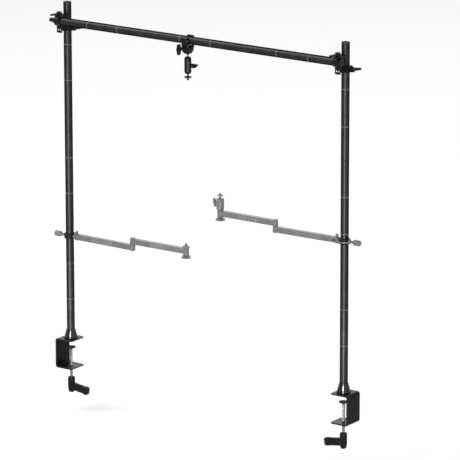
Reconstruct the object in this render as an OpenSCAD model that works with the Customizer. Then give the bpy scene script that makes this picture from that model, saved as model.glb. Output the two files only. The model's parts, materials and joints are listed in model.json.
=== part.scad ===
// Overhead stand that clamps to the two sides of a desk. A crossbar slides on two
// screwed posts and carries a tube clamp with a short ball arm, and each post
// carries a folding side arm. Millimetres: X runs along the crossbar, Y away from
// the viewer, Z up, and the origin lies on the desk top midway between the posts.

/* [Frame] */
// Distance between the axes of the two posts
post_span = 906; // [800:1:1200]
// Outer diameter of every tube
tube_d = 22; // [20:0.5:25]
// Wall of every tube
tube_wall = 1.5; // [1:0.1:3]
// Length of one section of a post
section_l = 316; // [300:1:400]
// How far the crossbar reaches past each post axis
bar_overhang = 13; // [12:1:40]
// Distance from the top of the posts down to the crossbar axis
bar_drop = 47.7; // [44:0.1:120]
// Distance between the axes of a post and the crossbar
bar_offset = 36.5; // [34:0.5:50]
// Diameter of the threaded studs that join the sections
stud_d = 11.5; // [8:0.1:13]
// Length of a stud in each section that it joins
stud_l = 18; // [16:1:26]
// Length of the threaded insert in each end of a section
insert_l = 28; // [24:1:40]

/* [Desk clamps] */
// Thickness of the desk that the clamps are set to
desk_t = 22; // [10:1:50]
// Thickness of the bent steel plate
plate_t = 4; // [3.5:0.5:6]
// Width of the plate along the desk edge
clamp_w = 60; // [50:1:90]
// Length of the upper and lower plate, over the bend
clamp_reach = 55; // [48:1:80]
// Clear height between the upper and lower plate
clamp_opening = 76; // [60:1:100]
// Distance from the free edge of the upper plate to the post axis
post_inset = 23; // [20:0.5:28]
// Inner radius of the plate's bends
bend_r = 3; // [1:0.5:6]
// Corner radius of the plate
plate_corner_r = 6; // [2:0.5:12]
// Diameter of the collar at the foot of a post
collar_d = 38.5; // [34:0.5:44]
// Height of the collar
collar_h = 25.5; // [15:0.5:40]
// Diameter of the clamp screw
screw_d = 8; // [6:0.5:10]
// Diameter of the pressure pad
pad_d = 26; // [20:0.5:36]
// Thickness of the pressure pad
pad_t = 5; // [4:0.5:10]
// Diameter of the handle's hub
hub_d = 20; // [16:0.5:26]
// Length of the handle's hub
hub_l = 45; // [40:1:60]
// Reach of the handle's lever from the screw axis
handle_l = 59; // [45:1:80]
// Height of the handle's lever
handle_h = 22; // [14:0.5:24]

/* [Corner clamps] */
// Width of a corner clamp along its tube
corner_w = 16; // [15:0.5:24]
// Metal around a tube in the clamps
corner_wall = 3; // [2.5:0.1:6]
// Height of a screw boss above its tube
boss_h = 6; // [6:0.5:12]
// Distance from the crossbar axis down to the middle of the post half
post_half_drop = 23.5; // [21:0.5:30]
// Length of a lug beyond its tube
lug_l = 21.5; // [18:0.5:28]
// Thickness of a lug
lug_t = 3; // [2:0.1:6]
// Diameter of the two accessory holes in a lug
lug_hole_d = 5.4; // [3:0.1:5.8]
// Distance between the accessory holes
lug_hole_pitch = 7; // [6.8:0.1:8]
// Length of a wing lever from its screw axis
wing_l = 38.5; // [26:0.5:42]
// Diameter of a wing lever's hub
wing_hub_d = 15; // [13:0.5:20]
// Height of a wing lever's hub
wing_hub_h = 9; // [8:0.5:14]

/* [Tube clamp] */
// Place of the tube clamp along the crossbar
crab_x = -25; // [-300:1:300]
// Width of the tube clamp along the crossbar
crab_w = 18; // [17:0.5:30]
// Metal of the jaws around the tube
crab_wall = 4.5; // [3.5:0.5:7]
// Thickness of the rubber in the jaws
crab_pad_t = 1.1; // [0.8:0.1:2]
// Height of the round foot under the clamp's rail
crab_foot = 8.6; // [8:0.1:20]
// Height of the bar knob
crab_knob_l = 29.5; // [24:0.5:36]

/* [Ball arm] */
// Diameter of the sleeve
sleeve_d = 19; // [18:0.5:24]
// Length of the sleeve
sleeve_l = 48.5; // [44:0.5:120]
// Diameter of the two balls
ball_d = 13; // [11:0.5:13]
// Length of neck that shows between a part and the sleeve
neck_l = 6.5; // [6:0.5:12]
// Diameter of the lock disc
disc_d = 20; // [16:0.5:24]

/* [Side arms] */
// Height of the left arm above the desk
left_arm_z = 296; // [120:1:500]
// Height of the right arm above the desk
right_arm_z = 418; // [120:1:500]
// Distance from the post axis to an arm's root bolt
root_r = 24; // [24:0.5:34]
// Length of an inner link between its bolts
inner_l = 193.5; // [120:0.5:260]
// Length of an outer link between its elbow and its screw
outer_l = 179; // [120:0.5:260]
// Width and height of a link
link_w = 15; // [14:0.5:18]
// Angle by which an inner link stands forward of the posts
arm_swing = 1.2; // [0:0.1:12]
// Height of a ring clamp
ring_h = 14; // [13:0.5:26]
// Thickness of a ring clamp's wall
ring_wall = 3.5; // [3:0.5:5]
// Thickness of the plastic liner in a ring clamp
liner_t = 1; // [0.8:0.1:1.5]
// Diameter of a barrel knob
barrel_d = 16; // [12:0.5:20]
// Length of a barrel knob
barrel_l = 24; // [16:0.5:34]
// Diameter across a star knob
star_d = 27; // [24:0.5:34]
// Number of lobes on a star knob
star_lobes = 6; // [5:1:8]

/* [Ball head] */
// Diameter of the head's body
head_d = 21; // [20.5:0.5:26]
// Height of the head's body
head_h = 30; // [29:0.5:40]
// Diameter of the head's ball
head_ball_d = 15; // [13:0.5:15]

/* [Hidden] */

$fn = 64;
LEFT = -1;
RIGHT = 1;
// Smallest overlap that cuts cleanly through a face
cut = 1;
// Radial gap of a fit that turns or slides
run_gap = 0.05;
// Radial gap of a thread, which is drawn plain
thread_gap = 0.1;
// Gap between flat faces that pass each other
face_gap = 0.3;
// Chamfer on turned edges
edge = 0.8;
// Depth of a side inside the rounds that it joins, which keeps their crossing sharp
hair = 0.02;

tube_r = tube_d / 2;
post_foot_z = plate_t;
post_top = post_foot_z + 3 * section_l;
bar_section_l = (post_span + 2 * bar_overhang) / 3;
bar_z = post_top - bar_drop;
bar_start = -post_span / 2 - bar_overhang;

// Desk clamps
web_x = clamp_reach - post_inset;
clamp_low = -clamp_opening - plate_t;
// Length of screw that shows below the lower plate on a desk of no thickness
screw_spare = 5.5;
hub_top = -desk_t - clamp_opening - plate_t - screw_spare;
// Height of the lever below the hub's top at the screw axis, and how far it dips
lever_drop = 26.5;
lever_dip = 8.5;
lever_t = 7;
grip_l = 14;
grip_t = 10;
pad_seat = 2;
foot_head_t = 2.2;
foot_head_d = 19;

// Corner clamps
pocket_x = corner_w - 6;
pocket_y = 15;
roof_t = 3;
boss_top = tube_r + boss_h;
boss_w = 19;
lug_end = tube_r + lug_l;
lug_hole_up = 8;
jaw_top = tube_r + 2.4;
jaw_recess = 1.4;
// The core is one block from tube to tube on a second one that ends behind the lug
core_low = -post_half_drop - corner_w / 2;
core_step = -tube_r * 0.9;
core_top = tube_r + corner_wall;
core_front = -(tube_r + corner_wall + 4);
core_back = -3;
groove_w = 5;
groove_deep = 2;
groove_l = 16;
wing_screw_r = 3;
wing_t = 4;
wing_rise = 3;
wing_tip_r = 3;
// The post lever hangs a little below level
post_lever_droop = 7;

// Tube clamp
crab_in = tube_r + crab_pad_t;
crab_out = crab_in + crab_wall;
crab_screw_r = 2.5;
crab_screw_z = -crab_out - 2.5;
crab_leg_t = crab_wall + 2;
crab_knob_y = -45;
crab_knob_t = 9;
// The two jaws reach from these distances before and behind the tube axis to these heights
front_in = -(tube_r - 4);
front_top = tube_r - 1.5;
rear_in = tube_r - 2;
rear_top = tube_r + 1;
window_w = crab_w - 4;
window_h = 3.1;
window_low = -crab_in - 0.2 - window_h;
rail_w = 9;
rail_h = 6;
rail_l = 1.5 * crab_out;
rail_z = crab_screw_z - crab_screw_r - 1.3 - rail_h;
block_top = rail_z + rail_h + 2.3;
base_thread_l = 6.5;
crab_base = crab_foot - rail_z;
foot_r = crab_out + 1.4;
// Half angles over which the rubber strips reach round the tube
rear_pad = 40;
front_pad = 48;
quarter_r = 3.175;

// Ball arm, measured down from the crossbar axis
sleeve_top = -crab_base - neck_l;
ball_inset = 6;
ball_upper = sleeve_top - ball_inset;
ball_lower = sleeve_top - sleeve_l + ball_inset;
neck_r = 2.2;
ball_gap = 0.15;
disc_t = 3;
disc_z = sleeve_top - sleeve_l - neck_l;

// Side arms, measured from the arm's own height on the post axis
liner_r = tube_r + liner_t;
ring_bore = liner_r + run_gap;
ring_r = ring_bore + ring_wall;
tongue_t = 6;
bolt_r = 2.5;
pivot_r = 3.5;
stack = link_w + 2.5;
elbow = [root_r + inner_l * cos(arm_swing), -inner_l * sin(arm_swing)];
end_x = elbow[0] + outer_l;
end_boss_r = link_w / 2 + 0.7;
end_boss_low = stack - link_w / 2 - 5;
end_boss_top = stack + link_w / 2 + 3;
end_screw_top = end_boss_top + 11;
star_t = 5;
head_ball_z = head_h - 7.5;

// Two circles on the x axis, the larger first, joined by sides that may lie a hair inside them
module taper(l, r1, r2, inside = 0) {
    a = asin((r1 - r2) / l);
    s1 = r1 - inside;
    s2 = r2 - inside;
    circle(r = r1);
    translate([l, 0]) circle(r = r2);
    polygon([
        [s1 * sin(a), s1 * cos(a)], [l + s2 * sin(a), s2 * cos(a)],
        [l + s2 * sin(a), -s2 * cos(a)], [s1 * sin(a), -s1 * cos(a)]
    ]);
}

// Rectangle from the origin, with round corners on its far side only
module round_end(l, w, r) {
    square([l - r, w]);
    translate([0, r]) square([l, w - 2 * r]);
    for (y = [r, w - r]) translate([l - r, y]) circle(r = r);
}

// Cylinder with both edges chamfered
module turned(r, h, c = edge) {
    rotate_extrude() polygon([[0, 0], [r - c, 0], [r, c], [r, h - c], [r - c, h], [0, h]]);
}

// Draws a profile given in (y, z), w wide and centred on x = 0
module along_x(w) {
    rotate([90, 0, 90]) linear_extrude(w, center = true) children();
}

// Cylinder along Y from y1 to y2
module along_y(r, y1, y2) {
    translate([0, y1, 0]) rotate([-90, 0, 0]) cylinder(r = r, h = y2 - y1);
}

// Cylinder along X from x1 to x2
module bore_x(r, x1, x2) {
    translate([x1, 0, 0]) rotate([0, 90, 0]) cylinder(r = r, h = x2 - x1);
}

// Tube standing on z = 0, with a threaded insert in each end
module tube_section(l) {
    bore = stud_d / 2 + thread_gap;
    rotate_extrude() polygon([
        [bore + edge, 0], [tube_r - edge / 2, 0], [tube_r, edge / 2],
        [tube_r, l - edge / 2], [tube_r - edge / 2, l], [bore + edge, l],
        [bore, l - edge], [bore, l - insert_l], [tube_r - tube_wall, l - insert_l],
        [tube_r - tube_wall, insert_l], [bore, insert_l], [bore, edge]
    ]);
}

// Stud with a hexagon socket in each end, centred on the joint
module stud() {
    difference() {
        union() {
            translate([0, 0, -stud_l]) turned(stud_d / 2, stud_l - edge / 2);
            cylinder(r = stud_d / 2 - edge, h = 2 * edge, center = true);
            translate([0, 0, edge / 2]) turned(stud_d / 2, stud_l - edge / 2);
        }
        for (s = [-1, 1]) translate([0, 0, s * stud_l]) cylinder(d = stud_d / 2, h = 8, center = true, $fn = 6);
    }
}

module post_section(side, index) {
    color("dimgray") translate([side * post_span / 2, 0, post_foot_z + index * section_l])
        tube_section(section_l);
}

module bar_section(index) {
    color("dimgray") translate([bar_start + index * bar_section_l, -bar_offset, bar_z])
        rotate([0, 90, 0]) tube_section(bar_section_l);
}

// Two joining studs in each post, and the low-headed screw that holds its foot
module post_studs() {
    color("silver") for (s = [LEFT, RIGHT]) translate([s * post_span / 2, 0, 0]) {
        for (i = [1, 2]) translate([0, 0, post_foot_z + i * section_l]) stud();
        translate([0, 0, 0.2]) turned(foot_head_d / 2, foot_head_t, 0.4);
        translate([0, 0, foot_head_t]) turned(stud_d / 2, stud_l, 0.8);
    }
}

// Two joining studs in the crossbar, and one that stands out of its left end
module bar_studs() {
    color("silver") for (i = [0, 1, 2])
        translate([bar_start + i * bar_section_l, -bar_offset, bar_z]) rotate([0, 90, 0]) stud();
}

module foot_collars() {
    bore = tube_r + thread_gap;
    color("black") for (s = [LEFT, RIGHT]) translate([s * post_span / 2, 0, post_foot_z])
        rotate_extrude() polygon([
            [bore, 0], [collar_d / 2 - edge, 0], [collar_d / 2, edge], [collar_d / 2, 3],
            [collar_d / 2 - 1.6, 6], [bore + 1.2, collar_h - 0.6], [bore + 0.6, collar_h], [bore, collar_h]
        ]);
}

// Steel plate bent to a C, drawn with the post axis on x = 0 and the desk edge at +x
module clamp_bracket_shape() {
    difference() {
        intersection() {
            rotate([90, 0, 0]) linear_extrude(clamp_w, center = true) difference() {
                translate([-post_inset, clamp_low])
                    round_end(clamp_reach, clamp_opening + 2 * plate_t, bend_r + plate_t);
                translate([-post_inset - cut, -clamp_opening])
                    round_end(clamp_reach - plate_t + cut, clamp_opening, bend_r);
            }
            translate([web_x, clamp_w / 2, clamp_low - cut]) rotate(180)
                linear_extrude(clamp_opening + 2 * (plate_t + cut))
                    round_end(clamp_reach, clamp_w, plate_corner_r);
        }
        translate([0, 0, -cut]) cylinder(d = foot_head_d + 1, h = foot_head_t + 0.3 + cut);
        cylinder(r = stud_d / 2 + face_gap, h = plate_t + cut);
        translate([0, 0, clamp_low - cut]) cylinder(r = screw_d / 2 + run_gap, h = plate_t + 2 * cut);
    }
}

// Places a desk clamp's piece on its post, with the desk edge outwards
module on_clamp(side) {
    translate([side * post_span / 2, 0, 0]) mirror([side == LEFT ? 1 : 0, 0, 0]) children();
}

module clamp_bracket(side) color("black") on_clamp(side) clamp_bracket_shape();

module clamp_screw(side) {
    top = -desk_t - pad_seat - 0.1;
    low = hub_top - hub_l * 0.6;
    color("silver") on_clamp(side) translate([0, 0, low]) turned(screw_d / 2, top - low);
}

module clamp_pad(side) {
    color("black") on_clamp(side) translate([0, 0, -desk_t - pad_t]) difference() {
        union() {
            translate([0, 0, pad_t - 2.5]) turned(pad_d / 2, 2.5, 0.6);
            cylinder(r1 = screw_d / 2 + 3, r2 = screw_d / 2 + 5, h = pad_t - 2.5 + 0.5);
        }
        translate([0, 0, -cut]) cylinder(r = screw_d / 2 + run_gap, h = pad_t - pad_seat + cut);
    }
}

// Flat lever towards -x with a thicker grip at its end
module clamp_lever() {
    r = handle_h / 4;
    translate([0, 0, -lever_drop]) rotate([0, -lever_dip, 0]) {
        translate([-handle_l + grip_l / 2, 0, 0]) rotate([90, 0, 0])
            linear_extrude(lever_t, center = true) translate([0, -handle_h / 2 + 0.5])
                square([handle_l - grip_l / 2, handle_h - 1]);
        translate([-handle_l + grip_l, 0, 0]) rotate([90, 0, 0]) linear_extrude(grip_t, center = true)
            mirror([1, 0]) translate([0, -handle_h / 2]) round_end(grip_l, handle_h, r);
    }
}

// Hub on the screw with its lever, both drawn down from the hub's top
module clamp_handle(side) {
    hub_r = hub_d / 2;
    color("black") on_clamp(side) translate([0, 0, hub_top]) difference() {
        union() {
            rotate_extrude() difference() {
                union() {
                    translate([0, -hub_l * 0.72]) square([hub_r, hub_l * 0.72 - hub_r * 0.6]);
                    polygon([
                        [0, -hub_l], [hub_r * 0.55, -hub_l], [hub_r * 0.8, -hub_l + 2.5],
                        [hub_r, -hub_l * 0.72], [0, -hub_l * 0.72]
                    ]);
                    translate([hub_r * 0.4, -hub_r * 0.6]) circle(r = hub_r * 0.6);
                    translate([0, -hub_r * 0.6 - cut]) square([hub_r * 0.4, hub_r * 0.6 + cut]);
                }
                translate([-hub_d, -hub_l * 2]) square([hub_d, hub_l * 3]);
            }
            clamp_lever();
        }
        translate([0, 0, -hub_l * 0.6 - 0.1]) cylinder(r = screw_d / 2 + run_gap, h = hub_l);
    }
}

// Half of a corner clamp: its tube lies on the x axis, its screw boss points up
module half_outline() {
    circle(r = tube_r + corner_wall);
    translate([-boss_w / 2, 0]) square([boss_w, boss_top - 2]);
    polygon([
        [-boss_w / 2, boss_top - 2.01], [-boss_w / 2 + 2, boss_top],
        [boss_w / 2 - 2, boss_top], [boss_w / 2, boss_top - 2.01]
    ]);
    rotate(-90) translate([0, -lug_t / 2]) square([lug_end, lug_t]);
}

module half_cuts(l) {
    bore_x(tube_r + run_gap, -l / 2, l / 2);
    translate([-pocket_x / 2, -pocket_y / 2, 0]) cube([pocket_x, pocket_y, boss_top - roof_t]);
    cylinder(r = wing_screw_r + run_gap, h = boss_top + cut);
    for (s = [-1, 1]) translate([s * lug_hole_pitch / 2, 0, -lug_end + lug_hole_up])
        along_y(lug_hole_d / 2, -lug_t, lug_t);
}

// The post half is the same shape turned so that its tube stands upright
module bar_half() translate([0, -bar_offset, 0]) children();
module post_half() translate([0, 0, -post_half_drop]) rotate(a = 180, v = [1, 0, 1]) children();

module on_corner(side) translate([side * post_span / 2, 0, bar_z]) children();

module corner_housing(side) {
    color("black") on_corner(side) difference() {
        union() {
            bar_half() along_x(corner_w) half_outline();
            post_half() along_x(corner_w) half_outline();
            translate([-corner_w / 2, -bar_offset, core_step])
                cube([corner_w, bar_offset + core_back, core_top - core_step]);
            translate([-corner_w / 2, core_front, core_low])
                cube([corner_w, core_back - core_front, core_top - core_low]);
        }
        bar_half() half_cuts(corner_w + 2 * cut);
        post_half() half_cuts(corner_w + 2 * cut);
        translate([0, 0, core_low - cut]) cylinder(r = tube_r + run_gap, h = core_top - core_low + 2 * cut);
        // Lightening groove across each face of the core
        for (s = [-1, 1]) translate([s * corner_w / 2, -bar_offset / 2, (core_step + core_top) / 2])
            cube([2 * groove_deep, groove_w, groove_l], center = true);
    }
}

// Saddle that the screw presses on the tube
module half_jaw() {
    low = tube_r * 0.62;
    difference() {
        translate([-pocket_x / 2 + face_gap / 2, -pocket_y / 2 + face_gap / 2, low])
            cube([pocket_x - face_gap, pocket_y - face_gap, jaw_top - low]);
        bore_x(tube_r + run_gap, -corner_w, corner_w);
        translate([0, 0, jaw_top - jaw_recess]) cylinder(r = wing_screw_r + thread_gap, h = jaw_recess + cut);
    }
}

// Screw with a hub, a long wing towards -y and a short wing beside it
module half_lever(turn) {
    low = boss_top + face_gap;
    step = wing_hub_h * 0.52;
    rotate([0, 0, turn]) {
        translate([0, 0, jaw_top - jaw_recess + 0.05]) cylinder(r = wing_screw_r, h = low - jaw_top + 2 * cut);
        translate([0, 0, low]) turned(wing_hub_d / 2, step, 0.8);
        translate([0, 0, low + step - cut]) turned(wing_hub_d * 0.28, wing_hub_h - step + cut, 0.8);
        translate([0, 0, low + 0.5]) difference() {
            intersection() {
                linear_extrude(wing_hub_h) rotate(-90) taper(wing_l - wing_tip_r, 5, wing_tip_r, hair);
                rotate([90, 0, -90]) linear_extrude(wing_hub_d, center = true) polygon([
                    [0, 0], [wing_l * 0.45, 0.4], [wing_l + cut, wing_rise], [wing_l + cut, wing_rise + wing_t],
                    [wing_l * 0.5, wing_rise + 2.6], [0, step]
                ]);
            }
            translate([0, -wing_l * 0.58, -cut]) cylinder(r = 2, h = wing_hub_h + 2 * cut);
        }
        translate([0, 0, low + 0.7]) linear_extrude(step - 1.4) rotate(12) taper(wing_hub_d * 0.6, 4, 2.4, hair);
    }
}

module bar_jaw(side) color("dimgray") on_corner(side) bar_half() half_jaw();
module post_jaw(side) color("dimgray") on_corner(side) post_half() half_jaw();
module bar_lever(side) color("black") on_corner(side) bar_half() half_lever(0);
module post_lever(side) color("black") on_corner(side) post_half() half_lever(-post_lever_droop);

module on_crab() translate([crab_x, -bar_offset, bar_z]) children();

// Fixed jaw: a plate behind the tube on a block that ends in a round foot with a flat base
module crab_body() {
    back = crab_out;
    front = crab_leg_t + face_gap - crab_out;
    color("black") on_crab() difference() {
        union() {
            along_x(crab_w) difference() {
                polygon([
                    [rear_in, block_top - cut], [back, block_top - cut], [back, rear_top - 2],
                    [back - 2, rear_top], [rear_in, rear_top]
                ]);
                circle(r = crab_in);
            }
            intersection() {
                translate([-crab_w / 2, front, -crab_base]) cube([crab_w, back - front, crab_base + block_top]);
                translate([0, 0, foot_r - 1 - crab_base]) sphere(r = foot_r);
            }
        }
        // Window in the plate, between the tube and the screw
        translate([-window_w / 2, rear_in - cut, window_low]) cube([window_w, crab_out, window_h]);
        translate([0, 0, crab_screw_z]) along_y(crab_screw_r + face_gap, -crab_out, rear_in);
        translate([0, 0, crab_screw_z]) along_y(crab_screw_r + run_gap, 0, back + cut);
        translate([-rail_w / 2 - face_gap / 2, -back - cut, rail_z - face_gap / 2])
            cube([rail_w + face_gap, rail_l + cut + 3, rail_h + face_gap]);
        translate([0, 0, -crab_base - cut]) cylinder(r = quarter_r + thread_gap, h = base_thread_l + 0.3 + cut);
    }
}

// Moving jaw: a front leg that narrows downwards, and a rail that slides in the fixed jaw
module crab_jaw() {
    front = -crab_out;
    leg_in = front + crab_leg_t;
    low = rail_z - 1;
    half_w = crab_w / 2;
    color("dimgray") on_crab() difference() {
        union() {
            intersection() {
                along_x(crab_w) difference() {
                    polygon([
                        [front, low], [front, front_top - 2.5], [front + 2.5, front_top], [front_in, front_top],
                        [front_in, -tube_r], [leg_in, -crab_in - 1], [leg_in, low]
                    ]);
                    circle(r = crab_in);
                }
                rotate([90, 0, 0]) linear_extrude(4 * crab_out, center = true) polygon([
                    [-half_w, front_top + cut], [half_w, front_top + cut], [half_w, -crab_out * 0.7],
                    [rail_w / 2 + 1.5, low - cut], [-rail_w / 2 - 1.5, low - cut], [-half_w, -crab_out * 0.7]
                ]);
            }
            translate([-rail_w / 2, front, rail_z]) cube([rail_w, rail_l, rail_h]);
            translate([0, 0, crab_screw_z]) along_y(5, front - 2, front + 2);
        }
        translate([0, 0, crab_screw_z]) along_y(crab_screw_r + run_gap, front - 2 - cut, 0);
    }
}

// Rubber strip in a jaw, on the side where dir points, over a half angle on each side of level
module crab_pad(dir, half_angle) {
    far = 3 * crab_out;
    color("black") on_crab() along_x(crab_w - 1) intersection() {
        difference() {
            circle(r = crab_in - 0.02);
            circle(r = tube_r + run_gap);
        }
        polygon([
            [0, 0], [dir * far * cos(half_angle), -far * sin(half_angle)],
            [dir * far * cos(half_angle), far * sin(half_angle)]
        ]);
    }
}

// Screw with a bar knob, turning in the moving jaw
module crab_knob() {
    front = -crab_out - 2 - face_gap;
    half = crab_knob_l / 2;
    color("black") on_crab() translate([0, 0, crab_screw_z]) {
        along_y(crab_screw_r, front - cut, crab_out + 6);
        along_y(4.5, crab_knob_y + 2, front);
        translate([0, crab_knob_y + crab_knob_t, 0]) rotate([90, 0, 0]) linear_extrude(crab_knob_t) {
            circle(r = 6);
            for (s = [-90, 90]) rotate(s) taper(half - 3.6, 5.4, 3.6, hair);
        }
    }
}

// Quarter-inch thread from z = 0, with a relief groove that ends at z = relief
module quarter_thread(l, relief) {
    cylinder(r = quarter_r, h = relief - 0.6);
    cylinder(r = quarter_r - 0.5, h = l - 1);
    translate([0, 0, relief]) turned(quarter_r, l - relief, 0.5);
}

// Ball on a neck; the ball is centred on the origin and the thread points up
module ball_stud(r, neck, shoulder) {
    sphere(r = r);
    cylinder(r = neck_r, h = neck);
    translate([0, 0, neck - shoulder]) cylinder(r = quarter_r + 0.8, h = shoulder, $fn = 6);
    translate([0, 0, neck]) children();
}

module upper_ball_stud() {
    color("silver") on_crab() translate([0, 0, ball_upper])
        ball_stud(ball_d / 2, ball_inset + neck_l, 2) turned(quarter_r, base_thread_l, 0.5);
}

module lower_ball_stud() {
    color("silver") on_crab() translate([0, 0, ball_lower]) mirror([0, 0, 1])
        ball_stud(ball_d / 2, ball_inset + neck_l, 2) quarter_thread(disc_t + 7, disc_t + 0.6);
}

// One end of the sleeve's hollow: a ball seat, a mouth and a notch for a full tilt
module ball_seat(r, mouth, notch) {
    sphere(r = r + ball_gap);
    cylinder(r = mouth, h = 3 * r);
    rotate([0, 0, notch]) {
        translate([-neck_r - 0.5, 0, 0]) cube([2 * neck_r + 1, 3 * r, 3 * r]);
        rotate([-90, 0, 0]) cylinder(r = neck_r + 0.5, h = 3 * r);
    }
}

module arm_sleeve() {
    r = sleeve_d / 2;
    color("black") on_crab() translate([0, 0, sleeve_top - sleeve_l]) difference() {
        union() {
            rotate_extrude() intersection() {
                union() {
                    translate([0, r * 0.8]) square([r, sleeve_l - r * 1.6]);
                    for (z = [r * 0.8, sleeve_l - r * 0.8]) {
                        translate([r * 0.2, z]) circle(r = r * 0.8);
                        translate([0, z - r * 0.8]) square([r * 0.2, r * 1.6]);
                    }
                }
                square([r, sleeve_l]);
            }
            translate([0, 0, sleeve_l / 2]) bore_x(6, 0, r + 1.5);
        }
        translate([0, 0, sleeve_l - ball_inset]) ball_seat(ball_d / 2, ball_d * 0.36, 0);
        translate([0, 0, ball_inset]) mirror([0, 0, 1]) ball_seat(ball_d / 2, ball_d * 0.36, 0);
        translate([0, 0, sleeve_l / 2]) bore_x(2.5 + run_gap, 0, r + 3);
    }
}

// Screw along X with a wedge-shaped wing
module arm_lock_lever() {
    r = sleeve_d / 2 + 1.5 + face_gap;
    color("black") on_crab() translate([0, 0, sleeve_top - sleeve_l / 2]) {
        bore_x(2.5, 2, r + cut);
        bore_x(5.5, r, r + 4);
        rotate([90, 0, 0]) linear_extrude(6.5, center = true) polygon([
            [r + 1, 5], [r + 6, 6], [r + 20, 5], [r + 21, 3.5], [r + 13, -5], [r + 5, -5.5], [r + 1, -4]
        ]);
    }
}

module lock_disc() {
    color("black") on_crab() translate([0, 0, disc_z - disc_t]) difference() {
        turned(disc_d / 2, disc_t - 0.1, 0.6);
        translate([0, 0, -cut]) cylinder(r = quarter_r + thread_gap, h = disc_t + 2 * cut);
    }
}

// Places an arm's piece at its height on its post; the arm runs towards the middle
module on_arm(side) {
    z = side == LEFT ? left_arm_z : right_arm_z;
    translate([side * post_span / 2, 0, z]) mirror([side == RIGHT ? 1 : 0, 0, 0]) children();
}

module arm_liner(side) {
    lip = 0.9;
    color("black") on_arm(side) difference() {
        union() {
            cylinder(r = liner_r, h = ring_h, center = true);
            for (s = [-1, 1]) translate([0, 0, s * (ring_h / 2 + run_gap + lip / 2)])
                cylinder(r = liner_r + 1.4, h = lip, center = true);
            cylinder(r = liner_r, h = ring_h + 2 * run_gap + 0.2, center = true);
        }
        cylinder(r = tube_r + run_gap, h = ring_h * 2, center = true);
    }
}

// Ring with a screw boss outwards and a tongue for the link inwards
module arm_ring(side) {
    boss = ring_r + 3;
    color("black") on_arm(side) difference() {
        union() {
            rotate_extrude() translate([0, -ring_h / 2]) polygon([
                [0, 0], [ring_r - 1, 0], [ring_r, 1], [ring_r, ring_h - 1], [ring_r - 1, ring_h], [0, ring_h]
            ]);
            bore_x(5.5, -boss, 0);
            translate([0, 0, -tongue_t / 2]) linear_extrude(tongue_t) {
                translate([root_r, 0]) circle(r = link_w / 2 - 1.5);
                translate([0, -link_w / 2 + 1.5]) square([root_r, link_w - 3]);
            }
        }
        cylinder(r = ring_bore, h = ring_h * 2, center = true);
        bore_x(bolt_r + run_gap, -boss - cut, 0);
        translate([root_r, 0, -ring_h]) cylinder(r = bolt_r + run_gap, h = 2 * ring_h);
    }
}

// Screw with a barrel-shaped head
module arm_knob(side) {
    tip = -liner_r - 0.1;
    neck = -ring_r - 3 - 7;
    br = barrel_d / 2;
    color("gray") on_arm(side) rotate([0, -90, 0]) rotate_extrude() polygon([
        [0, -tip], [bolt_r, -tip], [bolt_r, -neck - 4], [bolt_r + 1, -neck - 3.5], [bolt_r + 1, -neck],
        [br * 0.6, -neck + 1.5], [br - 0.8, -neck + 5], [br, -neck + 8], [br, -neck + barrel_l - 3],
        [br - 1.5, -neck + barrel_l - 0.5], [br - 2.5, -neck + barrel_l], [0, -neck + barrel_l]
    ]);
}

// Square bar with round ends, between z1 and z2
module link_bar(l, h) {
    c = 1;
    translate([0, 0, -h / 2]) linear_extrude(h) taper(l, link_w / 2 - c, link_w / 2 - c);
    translate([0, 0, -h / 2 + c]) linear_extrude(h - 2 * c) taper(l, link_w / 2, link_w / 2);
}

module inner_frame(side) {
    on_arm(side) translate([root_r, 0, 0]) rotate([0, 0, -arm_swing]) children();
}

module arm_inner(side) {
    color("gray") inner_frame(side) difference() {
        union() {
            link_bar(inner_l, link_w);
            translate([inner_l, 0, link_w / 2 - cut])
                cylinder(r = link_w / 2 - 0.5, h = stack - link_w - 0.1 + cut);
        }
        translate([-link_w, -link_w, -tongue_t / 2 - 0.2]) cube([1.5 * link_w + 1, 2 * link_w, tongue_t + 0.4]);
        cylinder(r = bolt_r + run_gap, h = 2 * link_w, center = true);
        translate([inner_l, 0, 0]) cylinder(r = pivot_r + run_gap, h = 4 * link_w, center = true);
    }
}

// The root bolt with its tall head, and the elbow bolt
module arm_bolts(side) {
    half = link_w / 2;
    color("silver") inner_frame(side) {
        translate([0, 0, -half - 1]) cylinder(r = bolt_r, h = link_w + 2);
        translate([0, 0, -half - 2.5]) cylinder(r = bolt_r + 1.8, h = 2.4, $fn = 6);
        difference() {
            translate([0, 0, half + 0.05]) turned(4, 8, 0.6);
            translate([0, 0, half + 5]) cylinder(r = 2, h = 6, $fn = 6);
        }
        translate([inner_l, 0, -half - 1]) cylinder(r = pivot_r, h = stack + link_w + 2);
        translate([inner_l, 0, -half - 1.55]) turned(link_w / 2 - 1, 1.5, 0.4);
        difference() {
            translate([inner_l, 0, stack + half + 0.1]) turned(link_w / 2 - 0.7, 1.8, 0.5);
            translate([inner_l, 0, stack + half + 1]) cylinder(r = 2.6, h = 3, $fn = 6);
        }
    }
}

module arm_outer(side) {
    low = end_boss_low;
    color("gray") on_arm(side) translate([elbow[0], elbow[1], 0]) difference() {
        union() {
            translate([0, 0, stack]) link_bar(outer_l, link_w);
            translate([outer_l, 0, low]) turned(end_boss_r, end_boss_top - low, 0.8);
        }
        cylinder(r = pivot_r + run_gap, h = 2 * stack);
        translate([outer_l, 0, 0]) cylinder(r = quarter_r + run_gap, h = 2 * stack + link_w);
    }
}

module on_end(side) on_arm(side) translate([end_x, elbow[1], 0]) children();

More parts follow.
